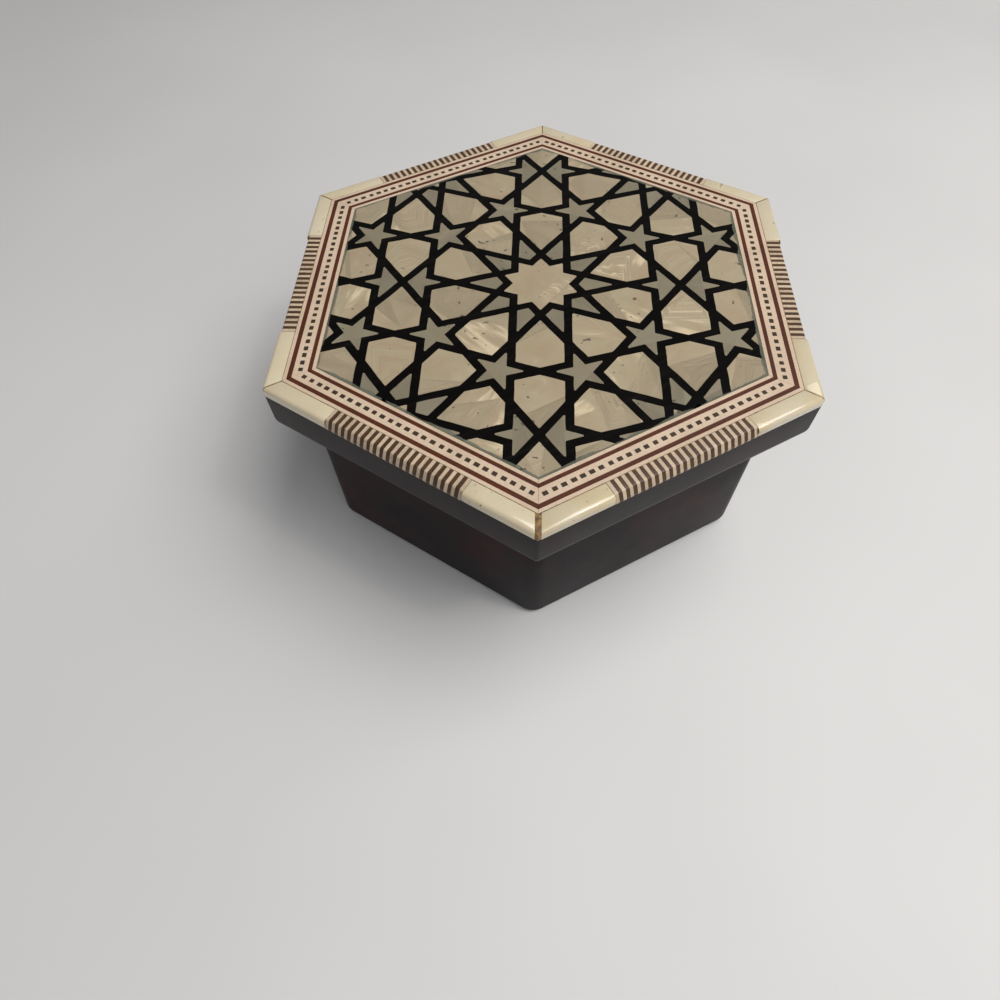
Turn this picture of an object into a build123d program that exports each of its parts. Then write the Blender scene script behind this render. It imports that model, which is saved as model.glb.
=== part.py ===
from build123d import *
from math import cos, radians, sin, sqrt, tan
import os

os.makedirs("parts", exist_ok=True)

# A six-sided jewelry box with a hinged lid. The origin is at the middle of the underside, +Z is up,
# the front is at -Y, the hinges are at the back and two corners lie on the X axis.

# Driving sizes of the whole box
box_height = 56.0
lid_across_flats = 121.5
base_across_flats = 108.0
lid_height = 14.0

# The base: mitred wall boards, a let-in bottom board and the felt under it
wall_thickness = 6.0
wall_corner_round = 5.0
bottom_board_thickness = 4.0
bottom_rebate = 3.0
felt_thickness = 1.0
felt_inset = 1.5

# The lid: mitred rails, a let-in top board and the rounded lower edge
lid_edge_round = 4.2
top_board_thickness = 4.0
top_board_rebate = 4.0
lid_gap = 0.3

# The velvet linings
wall_lining_thickness = 1.2
wall_lining_below_rim = 0.5
floor_pad_thickness = 3.0
floor_pad_round = 1.0
lid_pad_thickness = 2.0
lid_pad_round = 0.8
lining_clearance = 0.3

# Fits between glued pieces
board_clearance = 0.1
glue_line = 0.05
bone_glue_line = 0.25

# The marquetry on the lid, from its outer edge inwards
inlay_depth = 2.4
edge_band_width = 4.2
edge_band_round = 1.8
outer_light_line = 0.8
outer_dark_line = 1.05
dotted_band_width = 3.2
inner_dark_line = 0.95
inner_light_line = 0.8

# The striped blocks in the middle of each side
dark_slat = 0.9
light_slat = 0.8
slat_lean = 0.9
dark_slat_count = 20

# The ten-fold star pattern: the edge of its decagons, its straps and how far it is turned
decagon_edge = 13.5
strap_width = 1.75
pattern_turn = -30.0
smallest_tile_area = 1.5

# The two butt hinges
hinge_spacing = 40.0
hinge_length = 16.0
hinge_leaf_width = 6.7
hinge_leaf_thickness = 1.0
hinge_mortise_clearance = 0.1
knuckle_radius = 1.6
knuckle_to_wall = 0.1
knuckle_gap = 0.15
knuckle_relief = 0.3
end_knuckle_length = 5.0
pin_radius = 0.75
pin_running_clearance = 0.05

# The round brass brads that hold the leaves
brad_spacing = 9.0
brad_radius = 0.6
brad_length = 6.0
brad_from_edge = 2.4
brad_clearance = 0.03

# Sizes worked out from the ones above
lid_apothem = lid_across_flats / 2
base_apothem = base_across_flats / 2
lid_low = box_height - lid_height
wall_top = lid_low - lid_gap
wall_inner = base_apothem - wall_thickness
bottom_board_top = felt_thickness + bottom_board_thickness
inlay_low = box_height - inlay_depth
lid_inner = wall_inner
top_board_low = inlay_low - top_board_thickness
striped_length = dark_slat_count * dark_slat + (dark_slat_count + 1) * light_slat
reach = lid_across_flats

sides = {
    "front": -90, "front_right": -30, "back_right": 30, "back": 90, "back_left": 150, "front_left": 210,
}


def save(piece, name):
    """Labels a finished piece and writes it to its own file."""
    piece.part.label = name
    export_step(piece.part, f"parts/{name}.step")


def side_plane(angle):
    """The upright plane across the middle of one side: its first axis points out of the box."""
    outward = (cos(radians(angle)), sin(radians(angle)), 0)
    along = (sin(radians(angle)), -cos(radians(angle)), 0)
    return Plane(origin=(0, 0, 0), x_dir=outward, z_dir=along)


def wedge(angle, gap=0.0):
    """The sixth of the plan that belongs to one side, half a gap short of its two mitres."""
    with BuildSketch() as plan:
        with Locations(Location((0, 0, 0), (0, 0, angle))):
            Polygon(
                (gap, 0), (gap + reach, -reach * tan(radians(30))), (gap + reach, reach * tan(radians(30))),
                align=None,
            )
    return plan.sketch


def section_between(inner, outer, low, high):
    """A plain rectangular section of a board or strip, from one apothem to another."""
    with BuildSketch() as section:
        Polygon((inner, low), (outer, low), (outer, high), (inner, high), align=None)
    return section.sketch


def mitred(section, angle, gap=0.0):
    """A board or strip of one section along one side, cut at both mitres."""
    with BuildPart() as piece:
        with BuildSketch(side_plane(angle)):
            add(section)
        extrude(amount=reach / 2, both=True)
        extrude(wedge(angle, gap), amount=box_height, mode=Mode.INTERSECT)
    return piece


def hexagon_plate(apothem, low, thickness):
    """A six-sided board or pad."""
    with BuildPart() as plate:
        with BuildSketch(Plane.XY.offset(low)):
            RegularPolygon(apothem, 6, major_radius=False)
        extrude(amount=thickness)
    return plate


# The hinge: its axis lies just behind the back wall, in the gap under the lid
hinge_axis_y = base_apothem + knuckle_to_wall + knuckle_radius
hinge_axis_z = wall_top + lid_gap / 2
hinge_leaf_front = hinge_axis_y - hinge_leaf_width
brad_y = hinge_leaf_front + brad_from_edge
hinge_places = {"left": -hinge_spacing / 2, "right": hinge_spacing / 2}
brad_offsets = (-brad_spacing / 2, brad_spacing / 2)
middle_knuckle_length = hinge_length - 2 * end_knuckle_length

# How far a leaf reaches above or below the hinge axis: its near face, then its far face
leaf_near = lid_gap / 2
leaf_far = leaf_near + hinge_leaf_thickness


def hinge_leaf(middle, up, spans, bore_radius):
    """One leaf with its knuckles: up is 1 for the lid's leaf and -1 for the wall's."""
    end = Plane.YZ.offset(middle - hinge_length / 2)
    near = hinge_axis_z + up * leaf_near
    far = hinge_axis_z + up * leaf_far
    with BuildPart() as leaf:
        with BuildSketch(end):
            Polygon(
                (hinge_leaf_front, near), (hinge_axis_y, near),
                (hinge_axis_y, far), (hinge_leaf_front, far),
                align=None,
            )
        extrude(amount=hinge_length)
        with BuildSketch(end):
            with Locations((hinge_axis_y, hinge_axis_z)):
                Circle(knuckle_radius + knuckle_gap)
        extrude(amount=hinge_length, mode=Mode.SUBTRACT)
        for start, length in spans:
            with BuildSketch(end.offset(start)):
                with Locations((hinge_axis_y, hinge_axis_z)):
                    Circle(knuckle_radius)
                Polygon(
                    (base_apothem - knuckle_radius, near), (hinge_axis_y, near),
                    (hinge_axis_y, far), (base_apothem - knuckle_radius, far),
                    align=None,
                )
            extrude(amount=length)
        with BuildSketch(end):
            with Locations((hinge_axis_y, hinge_axis_z)):
                Circle(bore_radius)
        extrude(amount=hinge_length, mode=Mode.SUBTRACT)
        for offset_x in brad_offsets:
            with Locations(Plane(origin=(middle + offset_x, brad_y, near), z_dir=(0, 0, -up))):
                Hole(brad_radius + brad_clearance, depth=hinge_leaf_thickness)
    return leaf


def hinge_brads(up):
    """The four brads of the wall's leaves or the lid's leaves, as separate solids of one set."""
    near = hinge_axis_z + up * leaf_near
    with BuildPart() as brads:
        with BuildSketch(Plane.XY.offset(near)):
            for middle in hinge_places.values():
                with Locations(*((middle + offset_x, brad_y) for offset_x in brad_offsets)):
                    Circle(brad_radius)
        extrude(amount=up * brad_length)
    return brads


def cut_hinge_seats(board, up):
    """Lets both hinges into the back wall or the back rail, with their brad holes."""
    near = hinge_axis_z + up * leaf_near
    far = hinge_axis_z + up * leaf_far
    with BuildPart() as seated:
        add(board.part)
        for middle in hinge_places.values():
            end = Plane.YZ.offset(middle - hinge_length / 2 - hinge_mortise_clearance)
            with BuildSketch(end):
                front = hinge_leaf_front - hinge_mortise_clearance
                Polygon(
                    (front, near - up), (hinge_axis_y, near - up), (hinge_axis_y, far), (front, far),
                    align=None,
                )
                with Locations((hinge_axis_y, hinge_axis_z)):
                    Circle(knuckle_radius + knuckle_relief if up > 0 else knuckle_radius)
            extrude(amount=hinge_length + 2 * hinge_mortise_clearance, mode=Mode.SUBTRACT)
            for offset_x in brad_offsets:
                with Locations(Plane(origin=(middle + offset_x, brad_y, near), z_dir=(0, 0, -up))):
                    Hole(brad_radius + brad_clearance, depth=brad_length)
    return seated


# Base: wall boards with a rebate for the bottom board and a rounded upright corner at each mitre
with BuildSketch() as wall_section:
    Polygon(
        (wall_inner, bottom_board_top), (wall_inner + bottom_rebate, bottom_board_top),
        (wall_inner + bottom_rebate, felt_thickness), (base_apothem, felt_thickness),
        (base_apothem, wall_top), (wall_inner, wall_top),
        align=None,
    )
with BuildSketch() as base_outline:
    RegularPolygon(base_apothem, 6, major_radius=False)
    fillet(base_outline.vertices(), wall_corner_round)
for side, angle in sides.items():
    straight_wall = mitred(wall_section.sketch, angle)
    with BuildPart() as wall:
        add(straight_wall.part)
        extrude(base_outline.sketch, amount=box_height, mode=Mode.INTERSECT)
    save(cut_hinge_seats(wall, -1) if side == "back" else wall, f"wall_{side}")

# Base: the bottom board lies in the walls' rebate, with felt under it
bottom_board = hexagon_plate(
    wall_inner + bottom_rebate - board_clearance, felt_thickness, bottom_board_thickness
)
save(bottom_board, "bottom_board")
save(hexagon_plate(base_apothem - felt_inset, 0, felt_thickness), "foot_felt")

# Base: velvet on the walls and a soft pad on the floor
lining_inner = wall_inner - wall_lining_thickness
lining_section = section_between(
    lining_inner, wall_inner, bottom_board_top, wall_top - wall_lining_below_rim
)
for side, angle in sides.items():
    save(mitred(lining_section, angle, board_clearance), f"wall_lining_{side}")
with BuildPart() as floor_pad:
    with BuildSketch(Plane.XY.offset(bottom_board_top)):
        RegularPolygon(lining_inner - lining_clearance, 6, major_radius=False)
    extrude(amount=floor_pad_thickness)
    fillet(floor_pad.faces().sort_by(Axis.Z)[-1].edges(), floor_pad_round)
save(floor_pad, "floor_pad")

# Lid: rails with a rounded lower edge and a rebate that holds the top board
with BuildSketch() as rail_section:
    Polygon(
        (lid_inner, lid_low), (lid_apothem, lid_low), (lid_apothem, inlay_low),
        (lid_inner + top_board_rebate, inlay_low), (lid_inner + top_board_rebate, top_board_low),
        (lid_inner, top_board_low),
        align=None,
    )
    lower_outer_corner = rail_section.vertices().group_by(Axis.X)[-1].sort_by(Axis.Y)[0]
    fillet(lower_outer_corner, lid_edge_round)
for side, angle in sides.items():
    rail = mitred(rail_section.sketch, angle)
    save(cut_hinge_seats(rail, 1) if side == "back" else rail, f"lid_rail_{side}")
top_board_apothem = lid_inner + top_board_rebate - board_clearance
save(hexagon_plate(top_board_apothem, top_board_low, top_board_thickness), "lid_top_board")
with BuildPart() as lid_pad:
    with BuildSketch(Plane.XY.offset(top_board_low)):
        RegularPolygon(lid_inner - lining_clearance, 6, major_radius=False)
    extrude(amount=-lid_pad_thickness)
    fillet(lid_pad.faces().sort_by(Axis.Z)[0].edges(), lid_pad_round)
save(lid_pad, "lid_pad")

# Hinges: the wall's leaf has the two end knuckles and grips the pin, the lid's leaf turns on it
end_spans = ((0, end_knuckle_length), (hinge_length - end_knuckle_length, end_knuckle_length))
middle_spans = ((end_knuckle_length + knuckle_gap, middle_knuckle_length - 2 * knuckle_gap),)
for name, middle in hinge_places.items():
    save(hinge_leaf(middle, -1, end_spans, pin_radius), f"hinge_wall_leaf_{name}")
    save(hinge_leaf(middle, 1, middle_spans, pin_radius + pin_running_clearance), f"hinge_lid_leaf_{name}")
with BuildPart() as hinge_pins:
    for middle in hinge_places.values():
        with BuildSketch(Plane.YZ.offset(middle - hinge_length / 2)):
            with Locations((hinge_axis_y, hinge_axis_z)):
                Circle(pin_radius)
        extrude(amount=hinge_length)
save(hinge_pins, "hinge_pins")
save(hinge_brads(-1), "hinge_brads_wall")
save(hinge_brads(1), "hinge_brads_lid")

# Marquetry bands: mitred strips from the edge band inwards, each set of six in one node
band_widths = (
    ("outer_light_line", outer_light_line),
    ("outer_dark_line", outer_dark_line),
    ("dotted_band", dotted_band_width),
    ("inner_dark_line", inner_dark_line),
    ("inner_light_line", inner_light_line),
)
band_outer = lid_apothem - edge_band_width
for name, width in band_widths:
    strips = [
        mitred(section_between(band_outer - width, band_outer, inlay_low, box_height), angle, glue_line)
        for angle in sides.values()
    ]
    with BuildPart() as band:
        for strip in strips:
            add(strip.part)
    save(band, name)
    band_outer -= width
panel_apothem = band_outer - glue_line

# Edge band: bone at the corners and a block of upright slats in the middle of each side
with BuildSketch() as edge_section:
    Polygon(
        (lid_apothem - edge_band_width, inlay_low), (lid_apothem, inlay_low),
        (lid_apothem, box_height), (lid_apothem - edge_band_width, box_height),
        align=None,
    )
    upper_outer_corner = edge_section.vertices().group_by(Axis.X)[-1].sort_by(Axis.Y)[-1]
    fillet(upper_outer_corner, edge_band_round)


with BuildSketch() as slat_section:
    Polygon(
        (lid_apothem - edge_band_width, inlay_low), (lid_apothem, inlay_low),
        (lid_apothem - slat_lean, box_height), (lid_apothem - edge_band_width, box_height),
        align=None,
    )


def slat_set(angle, width, count):
    """The dark or light slats of one striped block, whose outer ends lean in as the bone's round does."""
    with BuildPart() as slats:
        with BuildSketch(Plane.XY.offset(inlay_low)):
            with Locations(Location((0, 0, 0), (0, 0, angle))):
                with Locations((lid_apothem - edge_band_width / 2, 0)):
                    with GridLocations(0, dark_slat + light_slat, 1, count):
                        Rectangle(edge_band_width, width)
        extrude(amount=inlay_depth)
        with BuildSketch(side_plane(angle)):
            add(slat_section.sketch)
        extrude(amount=reach / 2, both=True, mode=Mode.INTERSECT)
    return slats


block_room = striped_length + 2 * glue_line
for side, angle in sides.items():
    edge_strip = mitred(edge_section.sketch, angle, bone_glue_line)
    with BuildPart() as bones:
        add(edge_strip.part)
        with BuildSketch(side_plane(angle)):
            add(section_between(0, reach, 0, box_height))
        extrude(amount=block_room / 2, both=True, mode=Mode.SUBTRACT)
    save(bones, f"bone_blocks_{side}")
    save(slat_set(angle, dark_slat, dark_slat_count), f"dark_slats_{side}")
    save(slat_set(angle, light_slat, dark_slat_count + 1), f"light_slats_{side}")


# The star pattern. Each tile is drawn once, about the middle of the decagon, pentagon or barrel that
# holds it, with its corners where the strap centre lines cross. All lengths follow the decagon's edge.
decagon_apothem = decagon_edge / 2 / tan(radians(18))
pentagon_apothem = decagon_edge / 2 / tan(radians(36))
strap_distance = decagon_apothem * cos(radians(72))
star_tip = strap_distance / cos(radians(54))
star_notch = strap_distance / cos(radians(36))
petal_shoulder = decagon_apothem * sin(radians(72))
barrel_half = decagon_edge * sin(radians(72))
barrel_side_height = decagon_edge * sin(radians(18)) / 2
small_star_notch = pentagon_apothem * (3 - sqrt(5)) / 2


def polar(radius, angle):
    """A point of the plan from its distance and direction."""
    return (radius * cos(radians(angle)), radius * sin(radians(angle)))


petal_far = decagon_edge / 2 / sin(radians(18)) + decagon_edge / 2
centre_star_outline = [
    point for k in range(10) for point in (polar(star_notch, 36 * k), polar(star_tip, 36 * k + 18))
]
kite_outline = [polar(star_notch, 0), polar(star_tip, 18), (decagon_apothem, 0), polar(star_tip, -18)]
petal_outline = [
    (star_tip, 0), (petal_shoulder, strap_distance), (petal_shoulder + decagon_edge / 2, strap_distance),
    (petal_far, 0),
    (petal_shoulder + decagon_edge / 2, -strap_distance), (petal_shoulder, -strap_distance),
]
small_star_outline = [
    point for k in range(5)
    for point in (polar(pentagon_apothem, 180 + 72 * k), polar(small_star_notch, 216 + 72 * k))
]
arrow_outline = [
    (0, 0), (strap_distance, barrel_side_height + decagon_edge / 2), (strap_distance, barrel_side_height),
    (barrel_half, 0), (strap_distance, -barrel_side_height),
    (strap_distance, -barrel_side_height - decagon_edge / 2),
]

# The decagons stand on a lattice of two steps, and the other shapes fill the room between them
step_across = 2 * (decagon_apothem + barrel_half)
step_up = (decagon_apothem + pentagon_apothem) * (sin(radians(72)) + sin(radians(36)))
rows = range(-2, 3)
decagons = [
    (step_across * (column + row / 2), step_up * row) for row in rows for column in range(-3, 4)
]


def placed(centre, angle=0.0, shift=0.0):
    """A place turned with the whole pattern about its middle, then shifted along its own direction."""
    x, y = centre
    x += shift * cos(radians(angle))
    y += shift * sin(radians(angle))
    turned_x = x * cos(radians(pattern_turn)) - y * sin(radians(pattern_turn))
    turned_y = x * sin(radians(pattern_turn)) + y * cos(radians(pattern_turn))
    return Location((turned_x, turned_y, 0), (0, 0, angle + pattern_turn))


def near_panel(place):
    """True for a place whose tile could reach into the panel."""
    return place.position.length < panel_apothem / cos(radians(30)) + 2 * decagon_edge


barrels = [(x + step_across / 2, y) for x, y in decagons]
pattern = {
    "centre_star": (centre_star_outline, [placed(c) for c in decagons]),
    "kite_tiles": (kite_outline, [placed(c, 36 * k) for c in decagons for k in range(10)]),
    "petal_tiles": (
        petal_outline,
        [placed(c, 36 * k + 18) for c in decagons for k in range(10)]
        + [placed(c, angle, -star_tip) for c in barrels for angle in (90, 270)],
    ),
    "small_star_tiles": (
        small_star_outline,
        [
            placed(c, angle, decagon_apothem + pentagon_apothem)
            for c in decagons for angle in (36, 72, 108, 144)
        ],
    ),
    "arrow_tiles": (arrow_outline, [placed(c, angle) for c in barrels for angle in (0, 180)]),
}
with BuildSketch() as panel:
    RegularPolygon(panel_apothem, 6, major_radius=False)


def tile_shapes(outline, places, inset):
    """All tiles of one kind inside the panel, drawn back from the straps: whole ones, then cut ones."""
    with BuildSketch() as one_tile:
        Polygon(*outline, align=None)
        offset(amount=-inset, kind=Kind.INTERSECTION)
    with BuildSketch() as tiles_of_kind:
        with Locations(*filter(near_panel, places)):
            add(one_tile.sketch)
        add(panel.sketch, mode=Mode.INTERSECT)
    shapes = [face for face in tiles_of_kind.faces() if face.area > smallest_tile_area]
    whole = [face for face in shapes if face.area > 0.999 * one_tile.sketch.area]
    return whole, [face for face in shapes if face not in whole]


def tile_set(pockets):
    """One tile for each pocket, a glue line smaller all round."""
    with BuildPart() as tiles:
        with BuildSketch(Plane.XY.offset(inlay_low)):
            for pocket in pockets:
                add(pocket)
            offset(amount=-glue_line, kind=Kind.INTERSECTION)
        extrude(amount=inlay_depth)
    return tiles


# The straps are what is left of the panel between the tiles' pockets, and a tile fills each pocket.
# The tiles that the panel's edge cuts short are a set of their own.
whole_pockets = []
cut_pockets = []
for name, (outline, places) in pattern.items():
    whole, cut = tile_shapes(outline, places, strap_width / 2)
    whole_pockets += whole
    cut_pockets += cut
    save(tile_set(whole), name)
save(tile_set(cut_pockets), "edge_tiles")
with BuildPart() as strapwork:
    with BuildSketch(Plane.XY.offset(inlay_low)):
        add(panel.sketch)
        for pocket in whole_pockets + cut_pockets:
            add(pocket, mode=Mode.SUBTRACT)
    extrude(amount=inlay_depth)
save(strapwork, "strapwork_lattice")
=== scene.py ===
import random
from functools import cache
from math import cos, pi, radians, sin, tan

import bmesh
import bpy
from bpy.props import FloatProperty, FloatVectorProperty, IntProperty, PointerProperty
from mathutils import Matrix, Vector, noise


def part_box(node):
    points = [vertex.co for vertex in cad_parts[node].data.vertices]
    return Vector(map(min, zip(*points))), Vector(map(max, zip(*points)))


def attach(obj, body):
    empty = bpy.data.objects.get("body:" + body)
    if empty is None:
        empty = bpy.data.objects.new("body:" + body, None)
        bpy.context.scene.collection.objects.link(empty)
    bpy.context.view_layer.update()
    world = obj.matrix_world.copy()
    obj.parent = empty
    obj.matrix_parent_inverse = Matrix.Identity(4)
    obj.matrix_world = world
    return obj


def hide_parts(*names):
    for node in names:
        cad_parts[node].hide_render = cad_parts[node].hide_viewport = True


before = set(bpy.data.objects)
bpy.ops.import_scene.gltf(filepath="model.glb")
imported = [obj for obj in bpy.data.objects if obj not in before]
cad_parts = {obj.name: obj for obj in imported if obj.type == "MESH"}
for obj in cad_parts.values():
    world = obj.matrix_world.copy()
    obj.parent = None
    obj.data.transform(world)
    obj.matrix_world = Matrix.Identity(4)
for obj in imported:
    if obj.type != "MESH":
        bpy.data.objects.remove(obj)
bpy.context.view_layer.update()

bl_info = {
    "name": "Inlaid jewelry box",
    "version": (1, 0, 0),
    "blender": (4, 5, 0),
    "location": "3D View > Sidebar > Jewelry box",
    "description": "Dresses a six-sided jewelry box in lacquer, shell, bone, marquetry and velvet",
    "category": "Object",
}

# Everything is in metres, in the frame's own axes: the front is at -Y and the hinges are at +Y
MM = 0.001
SIDES = {"front": -90, "front_right": -30, "back_right": 30, "back": 90, "back_left": 150, "front_left": 210}
COS_30, TAN_30 = cos(radians(30)), tan(radians(30))

# Sizes read from the frame. An apothem is the distance from the middle to a flat side.
RAIL_BOX, WALL_BOX, LINING_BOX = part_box("lid_rail_front"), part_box("wall_front"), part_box("wall_lining_front")
LID_OUTER, LID_INNER, LID_LOW = -RAIL_BOX[0].y, -RAIL_BOX[1].y, RAIL_BOX[0].z
INLAY_LOW, BOX_TOP = RAIL_BOX[1].z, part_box("bone_blocks_front")[1].z
EDGE_INNER = -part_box("bone_blocks_front")[1].y
DOTTED_OUTER = -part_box("dotted_band")[0].y
DOTTED_INNER = -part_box("inner_dark_line")[0].y
PANEL = -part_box("strapwork_lattice")[0].y
TOP_BOARD_OUTER, TOP_BOARD_LOW = -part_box("lid_top_board")[0].y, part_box("lid_top_board")[0].z
WALL_OUTER, WALL_INNER = -WALL_BOX[0].y, -WALL_BOX[1].y
WALL_LOW, WALL_TOP = WALL_BOX[0].z, WALL_BOX[1].z
LINING_INNER, LINING_LOW, LINING_TOP = -LINING_BOX[1].y, LINING_BOX[0].z, LINING_BOX[1].z
STRIPED_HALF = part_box("light_slats_front")[1].x
LIGHT_SLAT = STRIPED_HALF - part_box("dark_slats_front")[1].x
PIN_LOW, PIN_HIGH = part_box("hinge_pins")
HINGE_AXIS = ((PIN_LOW + PIN_HIGH) / 2).yz
LEAF_BOXES = [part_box(f"hinge_wall_leaf_{name}") for name in ("left", "right")]

# The seats that let the hinges in: room beside a leaf, round a knuckle, past the axis and into the wood
SEAT_GAP, KNUCKLE_ROOM, SEAT_PAST_AXIS, SEAT_DEPTH = 0.1 * MM, 1.2 * MM, 1.15 * MM, 3 * MM
INSIDE_CORNER = 0.15 * MM  # upright corners inside the case and the lid
CASE_FOOT = 0.9 * MM  # radius of the case's lower outer edge
FINE_EDGE = 0.12 * MM  # radius of the finest edges of wood and bone
BOARD_GAP = 0.1 * MM  # between the lid's rails and the top board
CUTTER_REACH = MM  # a cutter goes this far past what it cuts
SMALLEST_TILE = 1.5 * MM * MM  # a cut tile with a smaller top is left out
OUTLINE_SPACING = 1.4 * MM  # points along a tile's edge, so that it can wander
# Each kind of tile has a seed, which draws the tone of every tile and the turn of its grain
TILE_SEEDS = {"centre_star": 8, "kite": 1, "petal": 143, "small_star": 3, "arrow": 4}
DOT_SHARE = 0.86  # a dot's size across the band, as a share of its size along it
ROW_SLACK = 0.35  # room at the ends of a row of dots, in dots' spacings
SEAM_WIDTH = 0.13 * MM  # amber glue inside the bone and the slats
SEAM_SINK = 0.03 * MM  # how far that glue lies under the top
GLUE_SINK = 0.10 * MM  # how far the glue in the joints of the bone lies under its polished faces
BLOCK_GAP, BLOCK_GLUE = 0.08 * MM, 0.07 * MM  # from the striped block to the bone, and the glue in it
MITRE_CLEARANCE = 0.1 * MM  # between the bone and the glue in its mitres
BONE_GAP, WORN_GAP = 0.30 * MM, 1.25 * MM  # usual opening of a mitre in the bone, and the worn one's
# The two bone blocks that meet at the nearest corner, where the joint has opened and filled with glue
WORN_MITRE = {("front", -1), ("front_left", 1)}
SLAT_LEAN = 0.9 * MM  # the slats' outer end leans in by this at the top
SLAT_SHOULDER, SLAT_TOE = 0.5 * MM, 0.4 * MM  # radii of that end at its top and at its foot
PAD_CORNER = 1.2 * MM  # upright corners of the floor and lid pads
# A pad's sides, from its foot up: the share of its full width at each share of their height
PAD_SIDES = ((0.985, 0.0), (1.0, 0.35), (0.992, 0.75))
FLOOR_CROWN, LID_CROWN = 0.9 * MM, 0.7 * MM  # how far the pads swell in the middle
PAD_SHOULDER = 0.965  # where the crown starts, as a share of the pad's width

# The camera of the photograph, in the frame's axes: where it stands and how it is turned
CAMERA_PLACE = Vector((-69.65, -115.34, 169.43)) * MM
CAMERA_HEADING, CAMERA_DIP, CAMERA_ROLL = radians(-26.19), radians(57.43), radians(-1.90)
SENSOR_WIDTH = 36
FOCAL_SHARE = 0.6933  # focal length as a share of the sensor's width

BOX_MIDDLE = (0, 0, 0.03)
LAMPS = (  # name, place, target, size, watts, colour
    ("window", (0.35, -0.16, 0.78), BOX_MIDDLE, (0.70, 0.60), 5.4, (1.0, 0.985, 0.96)),
    ("ceiling", (0.10, -0.60, 0.85), BOX_MIDDLE, (0.8, 0.7), 2.9, (0.97, 0.98, 1.0)),
    ("bulb", (0.28, -0.38, 0.82), (-0.02, -0.06, 0.055), (0.07, 0.07), 0.45, (1.0, 0.97, 0.92)),
    ("room", (-0.75, -0.35, 0.40), BOX_MIDDLE, (0.5, 0.5), 0.16, (1.0, 0.96, 0.92)),
)
SKY_COLOUR, SKY_STRENGTH = (0.86, 0.87, 0.90, 1), 0.22

# Colours of wood, dirt and glue that no setting holds
FILLER_ON_SHELL, FILLER_ON_WOOD = (0.135, 0.145, 0.105), (0.125, 0.135, 0.10)
DIRT, BROWN_PIT = (0.03, 0.025, 0.02), (0.16, 0.10, 0.05)


def length_setting(name, description, millimetres):
    """A length, given in millimetres."""
    return FloatProperty(name=name, description=description, default=millimetres * MM, unit="LENGTH")


def count_setting(name, description, default):
    """A whole number from 1 up."""
    return IntProperty(name=name, description=description, default=default, min=1)


def colour_setting(name, description, default):
    """A colour as Blender's own linear red, green and blue."""
    return FloatVectorProperty(
        name=name, description=description, default=default, subtype="COLOR", size=3, min=0, max=1,
    )


class InlaySizes(bpy.types.PropertyGroup):
    """Sizes of the star inlay and the bands round it."""

    decagon_edge: length_setting("Decagon edge", "Edge of the decagons that the star pattern stands on", 13.5)
    strap_width: length_setting("Strap width", "Width of the dark wooden straps", 1.85)
    glue_line: length_setting("Glue line", "Gap between a tile and the straps", 0.05)
    hand_wobble: length_setting("Hand wobble", "How far sawn edges wander from the drawn line", 0.34)
    tile_corner: length_setting("Tile corner", "Radius at the corners of the shell tiles", 0.22)
    dots_per_side: count_setting("Dots per side", "Dark squares in the dotted band on each side", 28)
    dot_size: length_setting("Dot size", "Edge of the dark squares", 1.18)
    dark_slats: count_setting("Dark slats", "Dark slats in the striped block of each side", 20)
    edge_round: length_setting("Edge round", "Radius of the polished outer edge", 1.8)
    pattern_turn: FloatProperty(
        name="Pattern turn", description="Turn of the star pattern about its middle",
        default=radians(-30), subtype="ANGLE",
    )


class CaseSizes(bpy.types.PropertyGroup):
    """Sizes of the lacquered case and lid."""

    wall_corner: length_setting("Wall corner", "Radius of the upright corners of the base", 5)
    lid_corner: length_setting("Lid corner", "Radius of the upright corners of the lid", 1.1)
    lid_edge: length_setting("Lid lower edge", "Radius of the lid's lower outer edge", 4.2)
    arris: length_setting("Arris", "Softening of the sharp wooden edges", 0.35)


class Finishes(bpy.types.PropertyGroup):
    """Base colours of the finishes."""

    lacquer: colour_setting("Lacquer", "Dark lacquer of the case and lid", (0.017, 0.0115, 0.012))
    bone: colour_setting("Bone", "Polished bone at the lid's corners", (0.66, 0.575, 0.40))
    warm_shell: colour_setting("Warm shell", "Petals and the middle star", (0.415, 0.340, 0.225))
    grey_shell: colour_setting("Grey shell", "Kites, small stars and arrows", (0.25, 0.218, 0.148))
    velvet: colour_setting("Velvet", "Lining inside the box", (0.16, 0.008, 0.015))


# Node trees


def live_socket(sockets, name):
    """The socket of that name or number that the node's settings leave in use."""
    if isinstance(name, int):
        return sockets[name]
    return next(socket for socket in sockets if socket.name == name and socket.enabled)


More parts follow.
